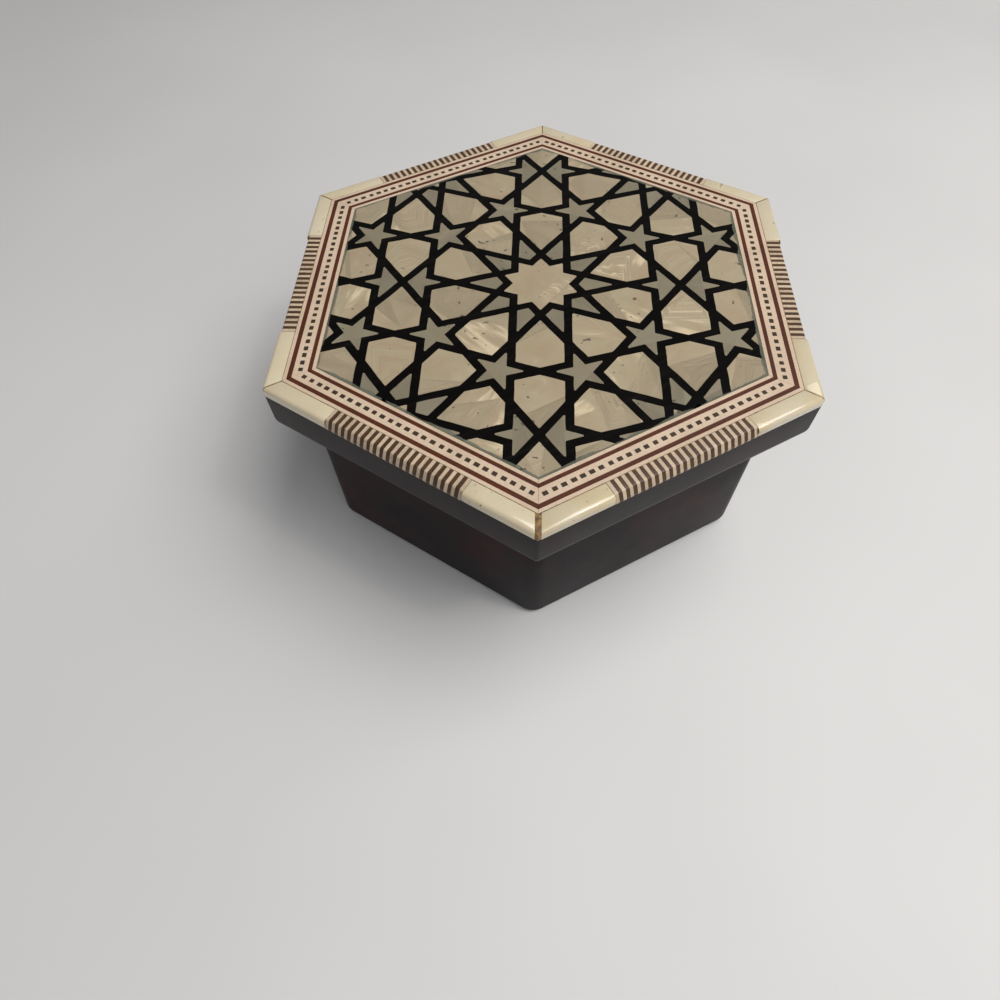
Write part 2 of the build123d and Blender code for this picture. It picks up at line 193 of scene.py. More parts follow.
class NodeMaker:
    """Adds nodes to one tree. An input is a plain value, an output socket or a list of output sockets."""

    def __init__(self, tree):
        self.tree = tree

    def feed(self, socket, value):
        """Gives a socket its plain value or its links."""
        if isinstance(value, (list, bpy.types.NodeSocket)):
            for start in value if isinstance(value, list) else [value]:
                self.tree.links.new(start, socket)
        else:
            socket.default_value = value

    def node(self, kind, inputs=None, **settings):
        """A new node with its settings and its inputs by name or number."""
        node = self.tree.nodes.new(kind)
        for name, value in settings.items():
            setattr(node, name, value)
        for name, value in (inputs or {}).items():
            self.feed(live_socket(node.inputs, name), value)
        return node

    def made(self, kind, inputs=None, output=0, **settings):
        """One output of a new node."""
        return live_socket(self.node(kind, inputs, **settings).outputs, output)

    def maths(self, operation, *values, clamp=False):
        """The result of a Math node."""
        return self.made("ShaderNodeMath", dict(enumerate(values)), operation=operation, use_clamp=clamp)

    def times(self, first, second):
        """The product of two values."""
        return self.maths("MULTIPLY", first, second)

    def times_plus(self, first, second, third, clamp=False):
        """The product of the first two values, and the third added."""
        return self.maths("MULTIPLY_ADD", first, second, third, clamp=clamp)

    def vector(self, operation, first, second, output=0):
        """The result of a Vector Math node."""
        return self.made("ShaderNodeVectorMath", {0: first, 1: second}, output, operation=operation)

    def along(self, **parts):
        """A vector from its X, Y and Z, each zero if it isn't given."""
        return self.made("ShaderNodeCombineXYZ", parts)

    def ramp(self, value, low, high):
        """A smooth step from 0 at low to 1 at high."""
        inputs = {"Value": value, "From Min": low, "From Max": high}
        return self.made("ShaderNodeMapRange", inputs, "Result", interpolation_type="SMOOTHSTEP")

    def blend(self, factor, first, second):
        """A colour between two others."""
        inputs = {"Factor": factor}
        for name, colour in (("A", first), ("B", second)):
            inputs[name] = colour if isinstance(colour, bpy.types.NodeSocket) else (*colour, 1)
        return self.made("ShaderNodeMix", inputs, "Result", data_type="RGBA")

    def layer(self, body, mask, strength, colour):
        """The body with a colour laid over it where the mask is."""
        return self.blend(self.times(mask, strength), body, colour)

    def noise(self, vector, scale, detail=3.0, roughness=0.5, distortion=0.0):
        """The value of a Noise Texture."""
        labels = ("Vector", "Scale", "Detail", "Roughness", "Distortion")
        values = (vector, scale, detail, roughness, distortion)
        return self.made("ShaderNodeTexNoise", dict(zip(labels, values)))

    def stretched(self, vector, scale, turn=(0, 0, 0)):
        """Coordinates that are turned and stretched."""
        return self.made("ShaderNodeMapping", {"Vector": vector, "Rotation": turn, "Scale": scale})

    def place(self):
        """Object coordinates, which are the frame's own metres."""
        return self.made("ShaderNodeTexCoord", output="Object")


class NodeGroup(NodeMaker):
    """A new node group, with its sockets given as {name: kind}."""

    def __init__(self, name, family, inputs, outputs):
        super().__init__(bpy.data.node_groups.new(name, f"{family}NodeTree"))
        for in_out, sockets in (("INPUT", inputs), ("OUTPUT", outputs)):
            for label, kind in sockets.items():
                self.tree.interface.new_socket(name=label, in_out=in_out, socket_type=f"NodeSocket{kind}")
        self.given = self.tree.nodes.new("NodeGroupInput").outputs
        self.leaving = self.tree.nodes.new("NodeGroupOutput").inputs

    def give(self, **values):
        """Feeds the group's outputs, and returns its tree."""
        for name, value in values.items():
            self.feed(self.leaving[name], value)
        return self.tree


# Shader groups


def shader_group(name, takes, gives):
    """A shader group whose sockets are numbers, apart from one called Vector."""
    kinds = {label: "Vector" if label == "Vector" else "Float" for label in (*takes, *gives)}
    inputs, outputs = ({label: kinds[label] for label in labels} for labels in (takes, gives))
    return NodeGroup(name, "Shader", inputs, outputs)


@cache
def hand_polish():
    """Wipe marks, fine dust and slow waves of a hand-rubbed polish."""
    make = shader_group("Hand polish", ("Roughness", "Marks", "Mark size"), ("Roughness", "Waves"))
    slanted = make.stretched(make.place(), (1, 0.35, 1), (0, 0, 0.5))
    smears = make.noise(slanted, make.given["Mark size"], 5, 0.6)
    dust = make.ramp(make.noise(make.place(), 2600, 2), 0.66, 0.74)
    lift = make.times_plus(make.maths("SUBTRACT", smears, 0.5), make.given["Marks"], make.given["Roughness"])
    rough = make.times_plus(dust, 0.12, lift, clamp=True)
    return make.give(Roughness=rough, Waves=make.noise(make.place(), 45, 2))


@cache
def wood_grain():
    """Long fibres and slow colour bands along one axis of the given coordinates."""
    make = shader_group("Wood grain", ("Vector", "Fineness"), ("Fibres", "Bands"))
    fibres = make.noise(make.stretched(make.given["Vector"], (0.045, 1, 1)), make.given["Fineness"], 5, 0.65)
    bands = make.noise(make.stretched(make.given["Vector"], (0.2, 1, 1)), 140, 2, 0.5, 0.6)
    return make.give(Fibres=fibres, Bands=bands)


@cache
def shell_layers():
    """Layered shell: clouds, growth streaks and flat tilted facets, with the grain turned for each tile.

    Facet is a random tone for each facet, which the shell finish uses as the mask of painted highlights, and
    Height is the relief in metres.
    """
    gives = ("Cloud", "Streak", "Facet", "Drift", "Height")
    make = shader_group("Shell layers", ("Turn", "Tone", "Tilt"), gives)
    apart = make.along(X=make.times(make.given["Tone"], 0.37), Y=make.times(make.given["Turn"], 0.11))
    turned = make.made("ShaderNodeVectorRotate", {
        "Vector": make.vector("ADD", make.place(), apart), "Angle": make.given["Turn"],
    }, rotation_type="Z_AXIS")
    flat = make.stretched(turned, (0.6, 1, 0))
    cloud = make.noise(turned, 170, 4, 0.55, 0.4)
    streak = make.noise(make.stretched(turned, (0.22, 1, 1)), 430, 4, 0.55, 0.2)
    facets = make.node(
        "ShaderNodeTexVoronoi", {"Vector": flat, "Scale": 175.0, "Smoothness": 0.30}, feature="SMOOTH_F1",
    ).outputs
    lean = make.vector("SUBTRACT", facets["Color"], (0.5, 0.5, 0.5))
    slope = make.vector("DOT_PRODUCT", lean, make.vector("SUBTRACT", flat, facets["Position"]), "Value")
    rippled = make.times_plus(streak, 0.000009, make.times(slope, make.given["Tilt"]))
    return make.give(
        Cloud=cloud, Streak=streak, Facet=make.made("ShaderNodeSeparateColor", {0: facets["Color"]}),
        Drift=make.noise(turned, 95, 2, 0.5, 0.8), Height=make.times_plus(cloud, 0.00015, rippled),
    )


@cache
def edge_filler():
    """A ragged rim of filler and dirt just inside the six-sided edge of the star panel."""
    make = shader_group("Edge filler", ("Width",), ("Mask",))
    reach = 0.0
    for angle in (-90, -30, 30):
        along = make.vector("DOT_PRODUCT", make.place(), (*polar(1, angle), 0), "Value")
        reach = make.maths("MAXIMUM", reach, make.maths("ABSOLUTE", along))
    patchy = make.times_plus(make.noise(make.place(), 110, 3, 0.6), 2.6, -0.75)
    inside = make.maths("SUBTRACT", PANEL, reach)
    over = make.maths("SUBTRACT", make.times(make.given["Width"], patchy), inside)
    return make.give(Mask=make.ramp(over, -0.00004, 0.00008))


@cache
def chips():
    """Small specks of dirt in a polished inlay."""
    make = shader_group("Chips and specks", ("Amount", "Size"), ("Specks",))
    coarse = make.noise(make.place(), 60, 2)
    fine = make.noise(make.place(), make.given["Size"], 2, 0.4)
    edge = make.maths("SUBTRACT", 0.80, make.times(make.given["Amount"], 0.12))
    both = make.times_plus(coarse, 0.25, make.times(fine, 0.85))
    return make.give(Specks=make.ramp(both, make.maths("SUBTRACT", edge, 0.02), make.maths("ADD", edge, 0.03)))


@cache
def pile():
    """Short upright pile of velvet or the tangled fibres of felt."""
    make = shader_group("Pile", ("Fineness", "Brushing"), ("Shade", "Height"))
    tufts = make.noise(make.place(), make.given["Fineness"], 2, 0.6)
    brushed = make.noise(make.place(), make.given["Brushing"], 3, 0.5, 0.25)
    return make.give(Shade=make.times_plus(tufts, 0.35, make.times(brushed, 0.65)), Height=tufts)


# Materials


class MaterialMaker(NodeMaker):
    """A material with one Principled BSDF, whose plain values are set on its own sockets."""

    def __init__(self, name, **constants):
        self.material = bpy.data.materials.new(name)
        self.material.use_nodes = True
        super().__init__(self.material.node_tree)
        self.shader = next(node for node in self.tree.nodes if node.type == "BSDF_PRINCIPLED")
        for label, value in constants.items():
            self.shader.inputs[label.replace("_", " ")].default_value = value

    def group(self, tree, **inputs):
        """The outputs of a shader group that is placed here with its own values."""
        node = self.node("ShaderNodeGroup", node_tree=tree)
        for label, value in inputs.items():
            self.feed(node.inputs[label.replace("_", " ")], value)
        return node.outputs

    def grain(self, fineness):
        """Wood grain along the piece."""
        return self.group(wood_grain(), Vector=self.place(), Fineness=fineness)

    def attribute(self, name):
        """A number that the mesh carries for each of its pieces."""
        return self.made("ShaderNodeAttribute", output="Fac", attribute_name=name)

    def done(self, colour, roughness=None, relief=None, metallic=None):
        """Feeds the shader and returns the material. Relief is a height, its distance and its strength."""
        if relief:
            relief = self.made("ShaderNodeBump", dict(zip(("Height", "Distance", "Strength"), relief)))
        labels = ("Base Color", "Roughness", "Normal", "Metallic")
        for label, value in zip(labels, (colour, roughness, relief, metallic)):
            if value is not None:
                self.feed(self.shader.inputs[label], value)
        return self.material


def tinted(colour, red, green=None, blue=None):
    """The colour with its red, green and blue scaled, all alike if only one factor is given."""
    factors = (red, green or red, blue or red)
    return tuple(min(1, part * factor) for part, factor in zip(colour, factors))


def lacquer_finish(name, colour, gloss, redness):
    """Satin dark lacquer: faint grain under it, reddish thin spots, rubbed marks and dust."""
    make = MaterialMaker(name, Coat_Weight=0.03, Coat_Roughness=0.20, Specular_IOR_Level=gloss)
    polish = make.group(hand_polish(), Roughness=0.42, Marks=0.18, Mark_size=70.0)
    fibres = make.grain(420.0)["Fibres"]
    thin = make.ramp(make.noise(make.place(), 42, 3, 0.55), 0.46, 0.74)
    body = make.blend(thin, colour, tinted(colour, redness, 1.1, 1.2))
    body = make.layer(body, fibres, 0.35, (0.012, 0.010, 0.010))
    return make.done(body, polish["Roughness"], (make.times_plus(fibres, 0.25, polish["Waves"]), 0.00012, 0.6))


def bone_finish(colour):
    """Polished bone: ivory with warm clouds, faint long fibres and tiny dark pores."""
    make = MaterialMaker(
        "Polished bone", Coat_Weight=0.8, Coat_Roughness=0.035, IOR=1.54,
        Subsurface_Weight=0.12, Subsurface_Scale=0.0012,
    )
    polish = make.group(hand_polish(), Roughness=0.24, Marks=0.10, Mark_size=120.0)
    specks = make.group(chips(), Amount=0.25, Size=900.0)["Specks"]
    clouds = make.ramp(make.noise(make.place(), 60, 3, 0.55, 0.5), 0.35, 0.70)
    body = make.blend(clouds, colour, tinted(colour, 0.92, 0.86, 0.68))
    body = make.layer(body, make.attribute("tone"), 0.75, tinted(colour, 1.10, 1.12, 1.22))
    body = make.layer(body, make.grain(520.0)["Fibres"], 0.16, (0.40, 0.30, 0.17))
    body = make.layer(body, specks, 0.7, BROWN_PIT)
    return make.done(body, polish["Roughness"], (make.maths("SUBTRACT", polish["Waves"], specks), 0.00005, 0.5))


def shell_finish(name, colour, tone_and_highlight_gain, liveliness):
    """Mother-of-pearl under clear polish: clouds, growth streaks and tilted facets that catch the light, with
    painted highlights (lightened facets, a streaky sheen and glints) laid into its colour.
    """
    make = MaterialMaker(name, Coat_Weight=0.55, Coat_Roughness=0.07, IOR=1.53)
    tone = make.attribute("tone")
    layers = make.group(shell_layers(), Turn=make.attribute("grain_turn"), Tone=tone, Tilt=0.016 * liveliness)
    # A lighter shell colour: used for the random tone of some tiles and for the painted highlights below
    light = tinted(colour, tone_and_highlight_gain)
    body = make.blend(make.ramp(layers["Cloud"], 0.30, 0.62), tinted(colour, 0.90, 0.86, 0.78), colour)
    body = make.layer(body, tone, 0.18, light)
    green, pink = tinted(colour, 0.93, 0.99, 0.93), tinted(colour, 1.10, 0.98, 0.95)
    body = make.blend(0.40, body, make.blend(make.ramp(layers["Drift"], 0.36, 0.64), green, pink))
    # Painted highlight: random facets lightened, standing in for facets that catch the light
    body = make.layer(body, make.ramp(layers["Facet"], 0.30, 0.95), 0.13 * liveliness, light)
    streaky = make.ramp(layers["Streak"], 0.42, 0.66)
    # Painted sheen: lighter streaks where the clouds are bright, standing in for light caught in the shell's
    # layers
    painted_sheen = make.times(make.ramp(layers["Cloud"], 0.52, 0.72), streaky)
    body = make.layer(body, painted_sheen, 0.65 * liveliness, light)
    # Painted glints: much lighter streaks on some facets of the lighter tiles, standing in for a lamp mirrored in
    # them
    painted_glint = make.times(make.ramp(layers["Facet"], 0.40, 0.66), streaky)
    painted_glint = make.times(painted_glint, make.ramp(tone, 0.45, 0.75))
    body = make.layer(body, painted_glint, 0.75 * liveliness, tinted(colour, tone_and_highlight_gain * 1.55))
    rim = make.group(edge_filler(), Width=0.0012)["Mask"]
    body = make.layer(body, rim, 0.85, FILLER_ON_SHELL)
    specks = make.group(chips(), Amount=0.45, Size=620.0)["Specks"]
    body = make.layer(body, specks, 0.75, DIRT)
    rough = make.times_plus(layers["Cloud"], -0.20, 0.46)
    metal = make.times(make.ramp(layers["Drift"], 0.30, 0.75), 0.16 * liveliness)
    return make.done(body, rough, (layers["Height"], 1.0, 0.8), metal)


def line_finish(name, colour, dark, fibre_strength, toned=False):
    """Fine hardwood of the marquetry lines, dots and slats, with open grain under a thin polish."""
    make = MaterialMaker(name, Coat_Weight=0.12, Coat_Roughness=0.16, Specular_IOR_Level=0.3)
    mottled = make.noise(make.place(), 1500, 3, 0.7)
    body = make.layer(colour, make.ramp(mottled, 0.42, 0.72), fibre_strength, dark)
    body = make.layer(body, make.ramp(make.noise(make.place(), 110), 0.40, 0.68), 0.35, dark)
    if toned:
        body = make.layer(body, make.attribute("tone"), 0.55, tinted(colour, 1.25))
    shine = make.times_plus(make.grain(1100.0)["Fibres"], 0.25, 0.25)
    return make.done(body, shine, (mottled, 0.00003, 0.6))


def strap_finish():
    """Near-black hardwood straps, rubbed down flush with the shell, with a soft gloss."""
    make = MaterialMaker("Ebony straps", Coat_Weight=0.03, Coat_Roughness=0.12, Specular_IOR_Level=0.09)
    polish = make.group(hand_polish(), Roughness=0.30, Marks=0.15, Mark_size=200.0)
    fibres = make.grain(700.0)["Fibres"]
    body = make.blend(make.ramp(fibres, 0.45, 0.75), (0.0018, 0.0014, 0.0011), (0.0065, 0.0052, 0.0043))
    rim = make.group(edge_filler(), Width=0.0009)["Mask"]
    body = make.layer(body, rim, 0.8, FILLER_ON_WOOD)
    return make.done(body, polish["Roughness"], (fibres, 0.00004, 0.6))


def glue_finish():
    """Old amber glue and dirt in the joints of the bone."""
    make = MaterialMaker("Amber glue", IOR=1.48)
    cloud = make.noise(make.place(), 900, 3, 0.6)
    body = make.blend(make.ramp(cloud, 0.35, 0.65), (0.30, 0.17, 0.055), (0.10, 0.055, 0.025))
    return make.done(body, make.times_plus(cloud, 0.3, 0.35), (cloud, 0.00008, 0.8))


def pile_finish(name, colour, sheen, fineness):
    """Velvet or felt, with brushed patches and a soft sheen at its edges."""
    make = MaterialMaker(name, Sheen_Weight=sheen, Sheen_Roughness=0.45, IOR=1.4)
    cloth = make.group(pile(), Fineness=fineness, Brushing=38.0)
    bright = tuple(part + 0.002 for part in tinted(colour, 1.35))
    body = make.blend(make.ramp(cloth["Shade"], 0.30, 0.70), tinted(colour, 0.70), bright)
    return make.done(body, make.times_plus(cloth["Shade"], 0.2, 0.75), (cloth["Height"], 0.00035, 0.7))


def brass_finish():
    """Plain rolled brass, dulled and brushed along the hinge."""
    make = MaterialMaker("Dull brass", IOR=1.5)
    rough = make.group(hand_polish(), Roughness=0.34, Marks=0.25, Mark_size=400.0)["Roughness"]
    brushed = make.noise(make.stretched(make.place(), (0.06, 1, 1)), 4200, 3, 0.6)
    tarnish = make.ramp(make.noise(make.place(), 300, 4, 0.6), 0.45, 0.68)
    body = make.blend(tarnish, (0.62, 0.42, 0.16), (0.26, 0.16, 0.07))
    return make.done(body, rough, (brushed, 0.00002, 0.5), make.times_plus(tarnish, -0.35, 1.0))


def raw_wood_finish():
    """Plain softwood board, inside and under the inlay."""
    make = MaterialMaker("Raw board", IOR=1.45)
    grain = make.grain(260.0)
    body = make.blend(grain["Fibres"], (0.36, 0.21, 0.095), (0.17, 0.09, 0.04))
    body = make.layer(body, grain["Bands"], 0.4, (0.42, 0.27, 0.13))
    return make.done(body, make.times_plus(grain["Fibres"], 0.2, 0.55), (grain["Fibres"], 0.00015, 0.6))


def floor_finish():
    """Plain pale floor, faintly clouded."""
    make = MaterialMaker("Pale floor", Roughness=0.55, IOR=1.45)
    cloud = make.ramp(make.noise(make.place(), 6), 0.3, 0.7)
    return make.done(make.blend(cloud, (0.66, 0.65, 0.64), (0.70, 0.69, 0.68)))


@cache
def make_finishes():
    """Every finish of the box, by the plain word that the operators use."""
    colours = bpy.context.scene.jewelry_finishes
    lacquer, bone, velvet = tuple(colours.lacquer), tuple(colours.bone), tuple(colours.velvet)
    return {
        "lid_lacquer": lacquer_finish("Lid lacquer", lacquer, 0.15, 1.7),
        # The base's lacquer is the same lacquer darkened to 0.55: painted shade of the base under the lid's
        # overhang; its redder thin spots are wear
        "base_lacquer": lacquer_finish("Base lacquer", tinted(lacquer, 0.55), 0.09, 3.6),
        "bone": bone_finish(bone),
        "warm_shell": shell_finish("Warm shell", tuple(colours.warm_shell), 1.30, 1.0),
        "grey_shell": shell_finish("Grey shell", tuple(colours.grey_shell), 1.25, 0.25),
        "cream_line": line_finish("Cream line", (0.67, 0.52, 0.385), (0.47, 0.34, 0.23), 0.40),
        "brown_line": line_finish("Red-brown line", (0.098, 0.024, 0.008), (0.040, 0.011, 0.004), 0.6),
        "dark_dot": line_finish("Dark dots", (0.048, 0.030, 0.016), (0.022, 0.014, 0.009), 0.6, True),
        "light_slat": line_finish("Light slats", (0.58, 0.46, 0.33), (0.26, 0.17, 0.10), 0.60, True),
        "dark_slat": line_finish("Dark slats", (0.080, 0.040, 0.019), (0.034, 0.017, 0.009), 0.6, True),
        "strap": strap_finish(),
        "glue": glue_finish(),
        "velvet": pile_finish("Red velvet", velvet, 0.35, 2600.0),
        "felt": pile_finish("Black felt", (0.018, 0.016, 0.016), 0.25, 1700.0),
        "brass": brass_finish(),
        "raw_wood": raw_wood_finish(),
    }


def finish(name):
    """The finish of that plain word."""
    return make_finishes()[name]


# Meshes


def polar(radius, degrees):
    """A point of the plan from its distance and direction."""
    return Vector((radius * cos(radians(degrees)), radius * sin(radians(degrees))))


def with_next(items):
    """Each item of a closed row with the one that follows it."""
    return zip(items, items[1:] + items[:1])


def add_object(name, mesh, material=None):
    """An object at the origin, unturned, with one material."""
    mesh.name = name
    piece = bpy.data.objects.new(name, mesh)
    bpy.context.scene.collection.objects.link(piece)
    if material is not None:
        mesh.materials.clear()
        mesh.materials.append(material)
    return piece


def remove_objects(*pieces):
    """Deletes helper objects."""
    for piece in pieces:
        bpy.data.objects.remove(piece)


def plain_mesh(piece):
    """Replaces a piece's mesh by what its modifiers make of it, and removes them."""
    bpy.context.view_layer.update()
    graph = bpy.context.evaluated_depsgraph_get()
    made = bpy.data.meshes.new_from_object(piece.evaluated_get(graph))
    piece.modifiers.clear()
    piece.data = made
    return piece


def shade(piece, sharp_degrees=32):
    """Smooth shading that stays crisp at edges sharper than the given angle."""
    piece.data.shade_smooth()
    piece.data.set_sharp_from_angle(angle=radians(sharp_degrees))
    return piece


def soften_edges(piece, width):
    """A small bevel on the sharp edges, made at once."""
    bevel = piece.modifiers.new("Soft edges", "BEVEL")
    bevel.width = width
    bevel.segments = 2
    bevel.limit_method = "ANGLE"
    bevel.angle_limit = radians(35)
    return plain_mesh(piece)


def face_outwards(mesh):
    """Turns the faces of a closed mesh outwards."""
    work = bmesh.new()
    work.from_mesh(mesh)
    bmesh.ops.recalc_face_normals(work, faces=work.faces)
    work.to_mesh(mesh)
    work.free()
    return mesh


def mesh_from(points, faces):
    """A closed mesh from points and faces, with its normals turned outwards."""
    mesh = bpy.data.meshes.new("solid")
    mesh.from_pydata([tuple(point) for point in points], [], faces)
    return face_outwards(mesh)


def lofted(rings, closed=False):
    """A solid through rings of points, capped at both ends, or closed from the last ring to the first."""
    count = len(rings[0])
    starts = [count * row for row in range(len(rings))]
    spans = list(with_next(starts)) if closed else list(zip(starts, starts[1:]))
    faces = [(a + i, a + j, b + j, b + i) for a, b in spans for i, j in with_next(list(range(count)))]
    if not closed:
        faces += [tuple(range(start, start + count)) for start in (starts[0], starts[-1])]
    return mesh_from([point for ring in rings for point in ring], faces)


def prism(outline, low, high):
    """An upright solid over an outline of the plan."""
    return lofted([[(x, y, z) for x, y in outline] for z in (low, high)])


def joined(meshes):
    """One mesh from several, kept as separate shells."""
    work = bmesh.new()
    for mesh in meshes:
        work.from_mesh(mesh)
    whole = bpy.data.meshes.new("joined")
    work.to_mesh(whole)
    work.free()
    return whole


def hexagon_ring(apothem, height, corner, arc_steps=8, side_steps=10):
    """Points of a hexagon with rounded corners, counterclockwise from above."""
    arcs = []
    for direction in range(0, 360, 60):
        middle = polar((apothem - corner) / COS_30, direction)
        turns = [direction - 30 + 60 * step / arc_steps for step in range(arc_steps + 1)]
        arcs.append([Vector((*(middle + polar(corner, turn)), height)) for turn in turns])
    points = []
    for arc, following in with_next(arcs):
        points += arc
        points += [arc[-1].lerp(following[0], step / side_steps) for step in range(1, side_steps)]
    return points


def swept_hexagon(section, closed=True, **steps):
    """A solid that runs round the box, from a section of (apothem, height, corner radius)."""
    return lofted([hexagon_ring(*place, **steps) for place in section], closed)


def rounded_corners(corners, steps=4):
    """A closed outline whose corners, given as (x, y, radius), are rounded to their radius."""
    outline = []
    for index, (x, y, radius) in enumerate(corners):
        here = Vector((x, y))
        if radius <= 0:
            outline.append(here)
            continue
        before = Vector(corners[index - 1][:2]) - here
        after = Vector(corners[(index + 1) % len(corners)][:2]) - here
        half = before.angle(after) / 2
        reach = min(radius / tan(half), 0.45 * before.length, 0.45 * after.length)
        bisector = (before.normalized() + after.normalized()).normalized()
        middle = here + bisector * (reach * tan(half) / sin(half))
        first = here + before.normalized() * reach - middle
        sweep = first.angle_signed(here + after.normalized() * reach - middle)
        outline += [middle + Matrix.Rotation(-sweep * step / steps, 2) @ first for step in range(steps + 1)]
    return outline


def side_turn(angle):
    """Turns a shape drawn for the side that faces +X to the side of that direction."""
    return Matrix.Rotation(radians(angle), 4, "Z")


def box_section(inner, outer, low, high):
    """A rectangular section of (apothem, height)."""
    return [(inner, low), (outer, low), (outer, high), (inner, high)]


def strip(section, cuts, turn):
    """A straight strip for one side: its section of (apothem, height) at each cut along the side.

    A cut is a function from the apothem to the distance along the side, so mitres are cuts too.
    """
    return lofted([[turn @ Vector((a, cut(a), z)) for a, z in section] for cut in cuts])


def square_cut(distance):
    """A cut straight across the strip."""
    return lambda apothem: distance


def mitre_cut(sign, gap):
    """The mitre at one end of a side, half a gap short of its middle plane."""
    return lambda apothem: sign * (apothem * TAN_30 - gap / 2 / COS_30)


# Geometry Nodes trees


class GeometryGroup(NodeGroup):
    """A Geometry Nodes tree that changes a geometry, with its other inputs given as name=kind."""

    def __init__(self, name, **inputs):
        kinds = {"Geometry": "Geometry"} | {label.replace("_", " "): kind for label, kind in inputs.items()}
        super().__init__(name, "Geometry", kinds | {"Material": "Material"}, {"Geometry": "Geometry"})

    def random(self, low, high, seed):
        """A random number for each instance or point."""
        inputs = {"Min": low, "Max": high, "Seed": seed}
        return self.made("FunctionNodeRandomValue", inputs, "Value", data_type="FLOAT")

    def stored(self, geometry, name, value):
        """The geometry with a named number on each of its instances."""
        inputs = {"Geometry": geometry, "Name": name, "Value": value}
        return self.made("GeometryNodeStoreNamedAttribute", inputs, data_type="FLOAT", domain="INSTANCE")

    def shape_of(self, name):
        """The geometry of the object at that input."""
        return self.made("GeometryNodeObjectInfo", {"Object": self.given[name]}, "Geometry")

    def copies(self, points, instance, rotation, **more):
        """Copies of a geometry on points."""
        inputs = {"Points": points, "Instance": instance, "Rotation": rotation, **more}
        return self.made("GeometryNodeInstanceOnPoints", inputs)

    def boolean(self, operation, inputs):
        """The exact boolean of some meshes."""
        return self.made("GeometryNodeMeshBoolean", inputs, "Mesh", operation=operation, solver="EXACT")

    def realized(self, geometry):
        """The geometry with its instances made real."""
        return self.made("GeometryNodeRealizeInstances", {"Geometry": geometry})

    def give_shape(self, geometry):
        """Ends the tree in Realize Instances and Set Material."""
        inputs = {"Geometry": self.realized(geometry), "Material": self.given["Material"]}
        return self.give(Geometry=self.made("GeometryNodeSetMaterial", inputs))


def run_tree(piece, tree, **values):
    """Runs a tree on a piece with its inputs set by identifier, and keeps the result as a plain mesh."""
    modifier = piece.modifiers.new(tree.name, "NODES")
    modifier.node_group = tree
    for item in tree.interface.items_tree:
        label = item.name.replace(" ", "_").lower()
        if item.item_type == "SOCKET" and item.in_out == "INPUT" and label in values:
            modifier[item.identifier] = values[label]
    return plain_mesh(piece)


@cache
def tile_placing_tree():
    """Puts one tile outline at every place of the pattern, lets its edge wander as a hand saw does,
    gives it depth and cuts it at the panel's edge."""
    make = GeometryGroup(
        "Tile placing", Places="Object", Panel="Object", Depth="Float", Wobble="Float", Seed="Int",
    )
    given = make.given
    turn = make.made("GeometryNodeInputNamedAttribute", {"Name": "turn"}, "Attribute", data_type="FLOAT")
    tiles = make.copies(make.shape_of("Places"), given["Geometry"], make.along(Z=turn))
    tiles = make.stored(tiles, "tone", make.random(0, 1, given["Seed"]))
    tiles = make.stored(tiles, "grain_turn", make.random(0, 2 * pi, make.maths("ADD", given["Seed"], 7.0)))
    where = make.made("GeometryNodeInputPosition")
    wander = make.made("ShaderNodeTexNoise", {"Vector": where, "Scale": 260.0, "Detail": 2.0}, "Color")
    centred = make.vector("SUBTRACT", wander, (0.5, 0.5, 0.5))
    shift = make.vector("MULTIPLY", centred, make.along(X=given["Wobble"], Y=given["Wobble"]))
    wavy = make.made("GeometryNodeSetPosition", {"Geometry": make.realized(tiles), "Offset": shift})
    raised = make.made("GeometryNodeExtrudeMesh", {
        "Mesh": wavy, "Offset Scale": given["Depth"], "Individual": False,
    }, "Mesh")
    under = make.made("GeometryNodeFlipFaces", {"Mesh": wavy})
    both = make.made("GeometryNodeJoinGeometry", {"Geometry": [raised, under]})
    closed = make.made("GeometryNodeMergeByDistance", {"Geometry": both, "Distance": 1e-6})
    return make.give_shape(make.boolean("INTERSECT", {1: [closed, make.shape_of("Panel")]}))


@cache
def carving_tree():
    """Cuts the shape of another object out of the piece."""
    make = GeometryGroup("Pocket cutting", Cutter="Object")
    return make.give_shape(make.boolean("DIFFERENCE", {0: make.given["Geometry"], 1: make.shape_of("Cutter")}))


@cache
def side_rows_tree():
    """A row of copies of the piece along each of the six sides, each a little different from the next."""
    make = GeometryGroup(
        "Side rows", Count="Int", Pitch="Float", Size_Spread="Float", Place_Spread="Float",
        Turn_Spread="Float", Seed="Int",
    )
    given = make.given
    row_length = make.times(make.maths("SUBTRACT", given["Count"], 1), given["Pitch"])
    line = make.made("GeometryNodeMeshLine", {
        "Count": given["Count"], "Start Location": make.along(Y=make.times(row_length, -0.5)),
        "Offset": make.along(Y=given["Pitch"]),
    })
    sides = make.made("GeometryNodeMeshLine", {"Count": 6, "Offset": (0, 0, 0)})
    number = make.made("GeometryNodeInputIndex")
    side = make.times_plus(number, radians(60), radians(-90))
    points = make.realized(make.copies(sides, line, make.along(Z=side)))
    side_number = make.maths("FLOOR", make.maths("DIVIDE", number, given["Count"]))
    angle = make.times_plus(side_number, radians(60), radians(-90))
    tilt = make.random(make.times(given["Turn Spread"], -1.0), given["Turn Spread"], given["Seed"])
    width = make.times_plus(make.random(-1, 1, 11), given["Size Spread"], 1.0)
    slide = make.times(make.random(-1, 1, 23), given["Place Spread"])
    offset = make.along(
        X=make.times(slide, make.times(make.maths("SINE", angle), -1.0)),
        Y=make.times(slide, make.maths("COSINE", angle)),
    )
    moved = make.made("GeometryNodeSetPosition", {"Geometry": points, "Offset": offset})
    rotation = make.along(Z=make.maths("ADD", angle, tilt))
    pieces = make.copies(moved, given["Geometry"], rotation, Scale=make.along(X=1.0, Y=width, Z=1.0))
    return make.give_shape(make.stored(pieces, "tone", make.random(0, 1, 5)))


# The star pattern: tile outlines about the middle of the shape that holds each, and where they stand


